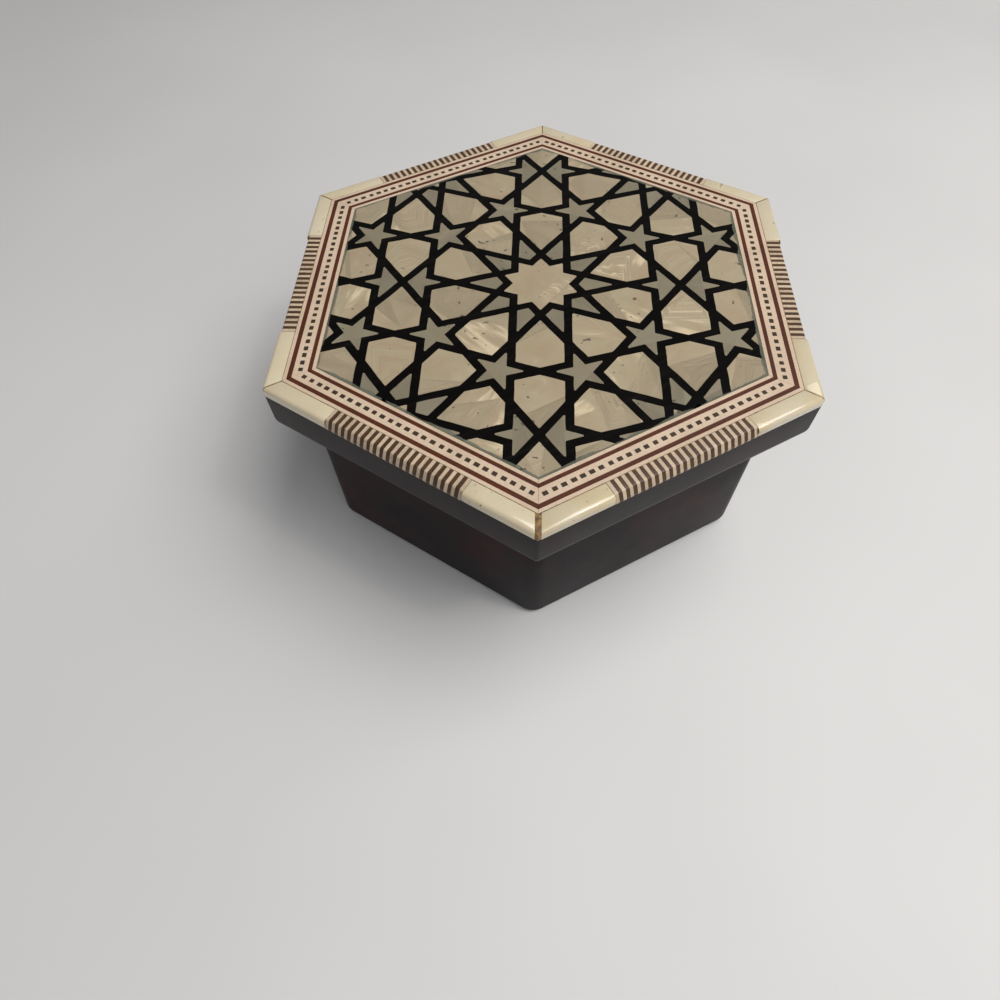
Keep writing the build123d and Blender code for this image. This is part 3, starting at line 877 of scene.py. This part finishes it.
def pattern_lengths(edge):
    """The lengths of the ten-fold pattern that follow from the edge of its decagons."""
    decagon = edge / 2 / tan(radians(18))
    pentagon = edge / 2 / tan(radians(36))
    strap = decagon * cos(radians(72))
    return {
        "half": edge / 2, "decagon": decagon, "pentagon": pentagon, "strap": strap,
        "tip": strap / cos(radians(54)), "notch": strap / cos(radians(36)),
        "small_notch": pentagon * (3 - 5 ** 0.5) / 2,
        "shoulder": decagon * sin(radians(72)), "corner": edge / 2 / sin(radians(18)),
        "barrel": edge * sin(radians(72)), "rise": edge * sin(radians(18)) / 2,
    }


def tile_outlines(at):
    """The outline of each kind of tile, on the centre lines of the straps."""
    half, strap, shoulder, rise = at["half"], at["strap"], at["shoulder"], at["rise"]
    corners = {
        "centre_star": [
            p for k in range(10) for p in (polar(at["notch"], 36 * k), polar(at["tip"], 36 * k + 18))
        ],
        "kite": [polar(at["notch"], 0), polar(at["tip"], -18), (at["decagon"], 0), polar(at["tip"], 18)],
        "petal": [
            (at["tip"], 0), (shoulder, -strap), (shoulder + half, -strap), (at["corner"] + half, 0),
            (shoulder + half, strap), (shoulder, strap),
        ],
        "small_star": [
            p for k in range(5)
            for p in (polar(at["pentagon"], 180 + 72 * k), polar(at["small_notch"], 216 + 72 * k))
        ],
        "arrow": [
            (0, 0), (strap, -rise - half), (strap, -rise),
            (at["barrel"], 0), (strap, rise), (strap, rise + half),
        ],
    }
    return {kind: [Vector(corner) for corner in outline] for kind, outline in corners.items()}


def tile_places(at, turn, reach):
    """For each kind of tile, the places that could reach into the panel: (x, y, turn of the tile)."""
    step_across = 2 * (at["decagon"] + at["barrel"])
    to_pentagon = at["decagon"] + at["pentagon"]
    step_up = to_pentagon * (sin(radians(72)) + sin(radians(36)))
    centres = [
        Vector((step_across * (column + row / 2), step_up * row))
        for row in range(-2, 3) for column in range(-3, 4)
    ]
    barrels = [centre + Vector((step_across / 2, 0)) for centre in centres]
    found = {
        "centre_star": [(c, 0) for c in centres],
        "kite": [(c, 36 * k) for c in centres for k in range(10)],
        "petal": [(c, 36 * k + 18) for c in centres for k in range(10)]
        + [(c - polar(at["tip"], a), a) for c in barrels for a in (90, 270)],
        "small_star": [(c + polar(to_pentagon, a), a) for c in centres for a in (36, 72, 108, 144)],
        "arrow": [(c, a) for c in barrels for a in (0, 180)],
    }
    whole_turn = Matrix.Rotation(turn, 2)
    return {
        kind: [(*(whole_turn @ c), turn + radians(angle)) for c, angle in places if c.length < reach]
        for kind, places in found.items()
    }


def drawn_back(outline, inset):
    """The outline moved inwards by the inset on every side, with its corners kept sharp."""
    moved = []
    for index, (here, following) in enumerate(with_next(outline)):
        before = (here - outline[index - 1]).normalized()
        after = (following - here).normalized()
        bisector = Vector((-before.y - after.y, before.x + after.x))
        moved.append(here + bisector * (2 * inset / bisector.length_squared))
    return moved


def tile_face(outline, inset, corner):
    """A flat tile drawn back from the straps' centre lines, with points along its sides."""
    soft = rounded_corners([(*point, corner) for point in drawn_back(outline, inset)], steps=3)
    dense = []
    for here, following in with_next(soft):
        steps = max(1, round((following - here).length / OUTLINE_SPACING))
        dense += [here.lerp(following, step / steps) for step in range(steps)]
    mesh = bpy.data.meshes.new("tile")
    mesh.from_pydata([(x, y, 0) for x, y in dense], [], [tuple(range(len(dense)))])
    return mesh


def places_object(places, height):
    """Loose points that carry the turn of the tile at each place."""
    mesh = bpy.data.meshes.new("places")
    mesh.from_pydata([(x, y, height) for x, y, turn in places], [], [])
    turns = mesh.attributes.new("turn", "FLOAT", "POINT")
    turns.data.foreach_set("value", [turn for x, y, turn in places])
    return add_object("places", mesh)


def drop_slivers(piece):
    """Removes loose shells whose top is too small to keep."""
    work = bmesh.new()
    work.from_mesh(piece.data)
    left = set(work.faces)
    doomed = []
    while left:
        shell = {left.pop()}
        border = list(shell)
        while border:
            beside = {face for edge in border.pop().edges for face in edge.link_faces} & left
            left -= beside
            shell |= beside
            border += beside
        if sum(face.calc_area() for face in shell if face.normal.z > 0.9) < SMALLEST_TILE:
            doomed += shell
    bmesh.ops.delete(work, geom=doomed, context="FACES")
    work.to_mesh(piece.data)
    work.free()
    return piece


# Pieces


def settle(piece, body, material_slot, *nodes):
    """Makes a finished piece ride on its body and stand for its CAD nodes."""
    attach(piece, body)
    if nodes:
        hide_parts(*nodes)


def side_nodes(stem):
    """The six node names of a piece that every side has."""
    return [f"{stem}_{side}" for side in SIDES]


def dress(finish_name, *nodes):
    """Gives CAD nodes that keep their shape a better material."""
    for node in nodes:
        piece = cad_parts[node]
        if not piece.material_slots:
            piece.data.materials.append(None)
        for slot in piece.material_slots:
            slot.material = finish(finish_name)


def lacquered_ring(name, body, slot, stem, outline, corner, up):
    """The walls or the lid's rails as one lacquered piece, let in at the back for both hinges."""
    middle = (min(a for a, z in outline) + max(a for a, z in outline)) / 2
    section = [(a, z, corner if a > middle else INSIDE_CORNER) for a, z in outline]
    piece = add_object(name, swept_hexagon(section), finish(slot))
    radius = (PIN_HIGH.z - PIN_LOW.z) / 2 + KNUCKLE_ROOM
    knuckle = [HINGE_AXIS + polar(radius, 15 * k) for k in range(24)]
    ends = HINGE_AXIS[1] - up * SEAT_DEPTH, HINGE_AXIS[1] + up * SEAT_PAST_AXIS
    for low, high in LEAF_BOXES:
        for shape in (knuckle, box_section(low.y - SEAT_GAP, HINGE_AXIS[0], *ends)):
            seat = [[(x, y, z) for y, z in shape] for x in (low.x - SEAT_GAP, high.x + SEAT_GAP)]
            cutter = add_object("seat_cutter", lofted(seat))
            run_tree(piece, carving_tree(), cutter=cutter, material=finish(slot))
            remove_objects(cutter)
    settle(shade(piece), body, slot, *side_nodes(stem))


class JEWELRYBOX_OT_case(bpy.types.Operator):
    """Makes the lacquered case with its rounded upright corners"""

    bl_idname = "jewelrybox.case"
    bl_label = "Lacquered case"

    def execute(self, context):
        sizes = context.scene.jewelry_case
        outline = rounded_corners([
            (WALL_INNER, WALL_LOW, 0), (WALL_OUTER, WALL_LOW, CASE_FOOT), (WALL_OUTER, WALL_TOP, sizes.arris),
            (WALL_INNER, WALL_TOP, sizes.arris),
        ])
        lacquered_ring("lacquered_base", "base", "base_lacquer", "wall", outline, sizes.wall_corner, -1)
        return {"FINISHED"}


class JEWELRYBOX_OT_lid_frame(bpy.types.Operator):
    """Makes the lacquered lid frame with its rounded lower edge"""

    bl_idname = "jewelrybox.lid_frame"
    bl_label = "Lacquered lid frame"

    def execute(self, context):
        sizes = context.scene.jewelry_case
        seat = TOP_BOARD_OUTER + BOARD_GAP
        outline = rounded_corners([
            (LID_INNER, LID_LOW, sizes.arris), (LID_OUTER, LID_LOW, sizes.lid_edge),
            (LID_OUTER, INLAY_LOW, FINE_EDGE), (seat, INLAY_LOW, 0), (seat, TOP_BOARD_LOW, 0),
            (LID_INNER, TOP_BOARD_LOW, 0),
        ], steps=9)
        lacquered_ring("lacquered_lid_frame", "lid", "lid_lacquer", "lid_rail", outline, sizes.lid_corner, 1)
        return {"FINISHED"}


class JEWELRYBOX_OT_star_inlay(bpy.types.Operator):
    """Makes the shell tiles of the ten-fold star pattern and the dark straps between them"""

    bl_idname = "jewelrybox.star_inlay"
    bl_label = "Star inlay"

    def execute(self, context):
        sizes = context.scene.jewelry_inlay
        at = pattern_lengths(sizes.decagon_edge)
        places = tile_places(at, sizes.pattern_turn, PANEL / COS_30 + 2 * sizes.decagon_edge)
        tree = tile_placing_tree()

        def hexagon(name, apothem, over):
            """A six-sided slab as thick as the inlay, and thicker by the given amount above and below."""
            corners = [polar(apothem / COS_30, angle) for angle in range(0, 360, 60)]
            return add_object(name, prism(corners, INLAY_LOW - over, BOX_TOP + over))

        def all_tiles(kind, outline, inset, panel, over):
            """Every tile of one kind, cut at the panel's edge."""
            flat = add_object(kind, tile_face(outline, inset, sizes.tile_corner))
            marks = places_object(places[kind], INLAY_LOW - over)
            run_tree(
                flat, tree, places=marks, panel=panel, depth=BOX_TOP - INLAY_LOW + 2 * over,
                wobble=sizes.hand_wobble, seed=TILE_SEEDS[kind], material=finish("warm_shell"),
            )
            remove_objects(marks)
            return flat

        tile_panel = hexagon("tile_panel", PANEL - sizes.glue_line, CUTTER_REACH)
        pocket_panel = hexagon("pocket_panel", PANEL + 2 * MM, 3 * CUTTER_REACH)
        shells = {"warm_shell": [], "grey_shell": []}
        pockets = []
        for kind, outline in tile_outlines(at).items():
            shell = "warm_shell" if kind in ("centre_star", "petal") else "grey_shell"
            inset = sizes.strap_width / 2
            shells[shell].append(all_tiles(kind, outline, inset + sizes.glue_line, tile_panel, 0))
            pockets.append(all_tiles(kind, outline, inset, pocket_panel, CUTTER_REACH))
        nodes = {
            "warm_shell": ("centre_star", "petal_tiles", "edge_tiles"),
            "grey_shell": ("kite_tiles", "small_star_tiles", "arrow_tiles"),
        }
        for name, pieces in shells.items():
            tiles = add_object(f"{name}_tiles", joined([piece.data for piece in pieces]), finish(name))
            remove_objects(*pieces)
            settle(shade(drop_slivers(tiles)), "lid", name, *nodes[name])
        straps = hexagon("star_strapwork", PANEL, 0)
        cutter = drop_slivers(add_object("pockets", joined([piece.data for piece in pockets])))
        run_tree(straps, carving_tree(), cutter=cutter, material=finish("strap"))
        remove_objects(cutter, tile_panel, pocket_panel, *pockets)
        settle(shade(straps), "lid", "ebony_strap", "strapwork_lattice")
        return {"FINISHED"}


class JEWELRYBOX_OT_bands(bpy.types.Operator):
    """Finishes the cream and red-brown lines and makes the dotted band between them"""

    bl_idname = "jewelrybox.bands"
    bl_label = "Marquetry bands"

    def execute(self, context):
        sizes = context.scene.jewelry_inlay
        dress("cream_line", "outer_light_line", "inner_light_line")
        dress("brown_line", "outer_dark_line", "inner_dark_line")
        middle = (DOTTED_INNER + DOTTED_OUTER) / 2
        half = sizes.dot_size / 2
        across = half * DOT_SHARE
        corners = box_section(middle - across, middle + across, -half, half)
        dot = rounded_corners([(x, y, FINE_EDGE) for x, y in corners], steps=2)
        pitch = 2 * middle * TAN_30 / (sizes.dots_per_side + ROW_SLACK)

        def rows_of_dots(name, over):
            """The dots of all six sides, taller by the given amount above and below."""
            piece = add_object(name, prism(dot, INLAY_LOW - over, BOX_TOP + over))
            return run_tree(
                piece, side_rows_tree(), count=sizes.dots_per_side, pitch=pitch, size_spread=0.14,
                place_spread=0.07 * MM, turn_spread=0.0016, seed=3, material=finish("dark_dot"),
            )

        dots = rows_of_dots("band_dots", 0)
        holes = rows_of_dots("band_holes", CUTTER_REACH)
        section = box_section(DOTTED_INNER, DOTTED_OUTER, INLAY_LOW, BOX_TOP)
        cuts = (mitre_cut(-1, sizes.glue_line), mitre_cut(1, sizes.glue_line))
        strips = [strip(section, cuts, side_turn(angle)) for angle in SIDES.values()]
        band = add_object("dotted_cream_band", joined(strips))
        run_tree(band, carving_tree(), cutter=holes, material=finish("cream_line"))
        remove_objects(holes)
        settle(shade(band), "lid", "cream_veneer", "dotted_band")
        settle(shade(dots), "lid", "dark_slat")
        return {"FINISHED"}


def give_tone(mesh, value):
    """Stores one number on every point of a mesh."""
    tone = mesh.attributes.new("tone", "FLOAT", "POINT")
    tone.data.foreach_set("value", [value] * len(mesh.vertices))
    return mesh


class JEWELRYBOX_OT_edge_band(bpy.types.Operator):
    """Makes the polished bone at the corners, its amber glue, and the striped blocks between"""

    bl_idname = "jewelrybox.edge_band"
    bl_label = "Bone and striped edge"

    def execute(self, context):
        sizes = context.scene.jewelry_inlay
        inner = EDGE_INNER + SEAM_WIDTH
        low_corners = [(inner, INLAY_LOW, 0), (LID_OUTER, INLAY_LOW, 0)]
        section = rounded_corners([
            *low_corners, (LID_OUTER, BOX_TOP, sizes.edge_round), (inner, BOX_TOP, 0),
        ], steps=8)
        near = 0.2 * MM
        sunk = [
            (a - GLUE_SINK * (a > LID_OUTER - near), z - GLUE_SINK * (z > INLAY_LOW + near)) for a, z in section
        ]
        inner_seam = box_section(EDGE_INNER, inner, INLAY_LOW, BOX_TOP - SEAM_SINK)
        dice = random.Random(4)
        blocks = []
        seams = []
        for side, angle in SIDES.items():
            turn = side_turn(angle)
            seams.append(strip(inner_seam, (mitre_cut(-1, 0), mitre_cut(1, 0)), turn))
            for sign in (-1, 1):
                gap = WORN_GAP if (side, sign) in WORN_MITRE else BONE_GAP * dice.uniform(0.7, 1.3)
                start = sign * (STRIPED_HALF + BLOCK_GAP)
                cuts = [square_cut(start + sign * MM * k) for k in (0, 4, 8)] + [mitre_cut(sign, gap)]
                blocks.append(give_tone(strip(section, cuts, turn), dice.random()))
                seams.append(strip(sunk, (mitre_cut(sign, gap + MITRE_CLEARANCE), mitre_cut(sign, 0)), turn))
                cuts = [square_cut(sign * (STRIPED_HALF + past)) for past in (0, BLOCK_GLUE)]
                seams.append(strip(sunk, cuts, turn))
        bone = add_object("polished_bone", joined(blocks), finish("bone"))
        settle(shade(soften_edges(bone, FINE_EDGE)), "lid", "bone", *side_nodes("bone_blocks"))
        settle(shade(add_object("amber_glue", joined(seams), finish("glue"))), "lid", "bone")

        slat_section = rounded_corners([
            *low_corners, (LID_OUTER, INLAY_LOW + SLAT_SHOULDER, SLAT_TOE),
            (LID_OUTER - SLAT_LEAN, BOX_TOP, SLAT_SHOULDER), (inner, BOX_TOP, 0),
        ])
        count = sizes.dark_slats
        pitch = 2 * (STRIPED_HALF - LIGHT_SLAT / 2) / count
        for name, width, count, spread in (
            ("dark_slat", pitch - LIGHT_SLAT, count, 0.12), ("light_slat", LIGHT_SLAT, count + 1, 0.0),
        ):
            cuts = (square_cut(-width / 2), square_cut(width / 2))
            slats = add_object(f"{name}s", strip(slat_section, cuts, Matrix.Identity(4)))
            run_tree(
                slats, side_rows_tree(), count=count, pitch=pitch, size_spread=spread,
                place_spread=0.0, turn_spread=0.0, seed=9, material=finish(name),
            )
            settle(shade(slats), "lid", name, *side_nodes(f"{name}s"))
        return {"FINISHED"}


def pad_mesh(apothem, low, high, crown, rings=14):
    """A soft pad: flat below, drawn in at its sides, with a crown that swells towards the middle."""
    rim = [point.xy for point in hexagon_ring(apothem, 0, PAD_CORNER, arc_steps=5)]
    side_height = high - crown - low
    rows = [(part, low + share * side_height) for part, share in PAD_SIDES]
    for ring in range(rings):
        part = 1 - ring / rings
        rows.append((PAD_SHOULDER * part, low + side_height + crown * (1 - part ** 3)))
    points = []
    for row, (part, z) in enumerate(rows):
        for x, y in (point * part for point in rim):
            ripple = 0.10 * MM * noise.noise(Vector((x * 160, y * 160, 1.7))) if row > len(PAD_SIDES) else 0
            points.append((x, y, z + ripple))
    return lofted([points[start:start + len(rim)] for start in range(0, len(points), len(rim))])


def wall_pad_mesh(half, thickness, turn, across=26, up=18):
    """A thin upright pad on a wall, with a soft rolled rim and a slightly swelling middle."""
    front, back = [], []
    for row in range(up + 1):
        for column in range(across + 1):
            s, t = column / across * 2 - 1, row / up * 2 - 1
            rim = (1 - abs(s) ** 9) * (1 - abs(t) ** 9)
            depth = thickness * (0.30 + 0.62 * rim ** 0.5 + 0.08 * (1 - s * s) * (1 - t * t))
            z = (LINING_LOW + LINING_TOP) / 2 + (LINING_TOP - LINING_LOW) / 2 * t
            front.append(turn @ Vector((WALL_INNER - depth, half * s, z)))
            back.append(turn @ Vector((WALL_INNER, half * s, z)))
    width, total = across + 1, len(front)
    corners = [row * width + column for row in range(up) for column in range(across)]
    faces = [(a, a + 1, a + 1 + width, a + width) for start in (0, total) for a in (c + start for c in corners)]
    rim_edges = [(a, a + 1) for row in (0, up * width) for a in range(row, row + across)]
    rim_edges += [(a, a + width) for column in (0, across) for a in range(column, up * width, width)]
    faces += [(a, b, total + b, total + a) for a, b in rim_edges]
    return mesh_from(front + back, faces)


class JEWELRYBOX_OT_linings(bpy.types.Operator):
    """Makes the velvet pads on the floor, on the walls and inside the lid"""

    bl_idname = "jewelrybox.linings"
    bl_label = "Velvet linings"

    def execute(self, context):
        def velvet_pad(mesh, name, body, node):
            """A finished pad of velvet that stands for a CAD node."""
            pad = shade(add_object(name, mesh, finish("velvet")), 60)
            settle(pad, body, "velvet", node)

        low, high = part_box("floor_pad")
        mesh = pad_mesh(-low.y, low.z, high.z, FLOOR_CROWN)
        velvet_pad(mesh, "velvet_floor_pad", "base", "floor_pad")
        low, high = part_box("lid_pad")
        mesh = pad_mesh(-low.y, -high.z, -low.z, LID_CROWN)
        mesh.transform(Matrix.Scale(-1, 4, (0, 0, 1)))
        velvet_pad(face_outwards(mesh), "velvet_lid_pad", "lid", "lid_pad")
        half = LINING_INNER * TAN_30 - 0.05 * MM
        for side, angle in SIDES.items():
            mesh = wall_pad_mesh(half, WALL_INNER - LINING_INNER, side_turn(angle))
            velvet_pad(mesh, f"velvet_wall_{side}", "base", f"wall_lining_{side}")
        return {"FINISHED"}


class JEWELRYBOX_OT_felt(bpy.types.Operator):
    """Makes the felt under the box"""

    bl_idname = "jewelrybox.felt"
    bl_label = "Felt under the box"

    def execute(self, context):
        low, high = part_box("foot_felt")
        apothem = -low.y
        soft = 0.25 * MM
        section = [
            (apothem - soft, low.z, MM), (apothem - 0.05 * MM, low.z + soft, MM),
            (apothem, (low.z + high.z) / 2, MM), (apothem - 0.1 * MM, high.z, MM),
        ]
        mesh = swept_hexagon(section, closed=False, side_steps=24)
        for vertex in mesh.vertices:
            fuzz = min(0.12 * MM * noise.noise(vertex.co * 900), 0)
            vertex.co += Vector((fuzz, fuzz, 0))
        felt = shade(add_object("felt_foot", mesh, finish("felt")))
        settle(felt, "base", "felt", "foot_felt")
        return {"FINISHED"}


class JEWELRYBOX_OT_hinges(bpy.types.Operator):
    """Finishes the hinge leaves, their pins and their brads in brass"""

    bl_idname = "jewelrybox.hinges"
    bl_label = "Brass hinges"

    def execute(self, context):
        leaves = [f"hinge_{part}_leaf_{name}" for part in ("wall", "lid") for name in ("left", "right")]
        dress("brass", *leaves, "hinge_pins", "hinge_brads_wall", "hinge_brads_lid")
        return {"FINISHED"}


class JEWELRYBOX_OT_boards(bpy.types.Operator):
    """Finishes the plain boards inside the case and the lid"""

    bl_idname = "jewelrybox.boards"
    bl_label = "Plain boards"

    def execute(self, context):
        dress("raw_wood", "bottom_board", "lid_top_board")
        return {"FINISHED"}


class JEWELRYBOX_OT_stage(bpy.types.Operator):
    """Makes the floor, the soft studio light and the camera"""

    bl_idname = "jewelrybox.stage"
    bl_label = "Floor, light and camera"

    def execute(self, context):
        scene = context.scene
        bpy.ops.mesh.primitive_plane_add(size=6.0, location=(0, 0, 0))
        floor = context.object
        floor.name = "floor"
        floor.data.materials.append(floor_finish())

        for name, place, target, size, watts, colour in LAMPS:
            data = bpy.data.lights.new(name, "AREA")
            data.shape = "RECTANGLE"
            data.size, data.size_y = size
            data.energy = watts
            data.color = colour
            lamp = bpy.data.objects.new(name, data)
            lamp.location = place
            lamp.rotation_euler = (Vector(target) - Vector(place)).to_track_quat("-Z", "Y").to_euler()
            scene.collection.objects.link(lamp)

        scene.world = bpy.data.worlds.new("Studio")
        scene.world.use_nodes = True
        sky = next(node for node in scene.world.node_tree.nodes if node.type == "BACKGROUND")
        sky.inputs["Color"].default_value = SKY_COLOUR
        sky.inputs["Strength"].default_value = SKY_STRENGTH

        data = bpy.data.cameras.new("camera")
        data.sensor_width = SENSOR_WIDTH
        data.lens = SENSOR_WIDTH * FOCAL_SHARE
        data.clip_start = 0.01
        camera = bpy.data.objects.new("camera", data)
        heading = Matrix.Rotation(CAMERA_HEADING, 4, "Z")
        dip = Matrix.Rotation(pi / 2 - CAMERA_DIP, 4, "X")
        roll = Matrix.Rotation(CAMERA_ROLL, 4, "Z")
        camera.matrix_world = Matrix.Translation(CAMERA_PLACE) @ heading @ dip @ roll
        scene.collection.objects.link(camera)
        scene.camera = camera
        scene.view_settings.view_transform = "Standard"
        return {"FINISHED"}


STEPS = (
    "case", "lid_frame", "star_inlay", "bands", "edge_band", "linings", "felt", "hinges", "boards", "stage",
)


class JEWELRYBOX_PT_panel(bpy.types.Panel):
    """Lists the pieces of the box in the order of their making"""

    bl_idname = "JEWELRYBOX_PT_panel"
    bl_label = "Jewelry box"
    bl_space_type = "VIEW_3D"
    bl_region_type = "UI"
    bl_category = "Jewelry box"

    def draw(self, context):
        scene = context.scene
        for group in (scene.jewelry_case, scene.jewelry_inlay, scene.jewelry_finishes):
            for name in group.__annotations__:
                self.layout.prop(group, name)
        for step in STEPS:
            self.layout.operator(f"jewelrybox.{step}")


CLASSES = (
    InlaySizes, CaseSizes, Finishes, JEWELRYBOX_OT_case, JEWELRYBOX_OT_lid_frame, JEWELRYBOX_OT_star_inlay,
    JEWELRYBOX_OT_bands, JEWELRYBOX_OT_edge_band, JEWELRYBOX_OT_linings, JEWELRYBOX_OT_felt,
    JEWELRYBOX_OT_hinges, JEWELRYBOX_OT_boards, JEWELRYBOX_OT_stage, JEWELRYBOX_PT_panel,
)


def register():
    """Registers the classes and hangs their settings on the scene."""
    for cls in CLASSES:
        bpy.utils.register_class(cls)
    bpy.types.Scene.jewelry_inlay = PointerProperty(type=InlaySizes)
    bpy.types.Scene.jewelry_case = PointerProperty(type=CaseSizes)
    bpy.types.Scene.jewelry_finishes = PointerProperty(type=Finishes)


def unregister():
    """Takes the settings and the classes away again."""
    del bpy.types.Scene.jewelry_finishes
    del bpy.types.Scene.jewelry_case
    del bpy.types.Scene.jewelry_inlay
    for cls in reversed(CLASSES):
        bpy.utils.unregister_class(cls)


def main():
    """Makes the whole box."""
    register()
    for step in STEPS:
        getattr(bpy.ops.jewelrybox, step)()


if __name__ == "__main__":
    main()
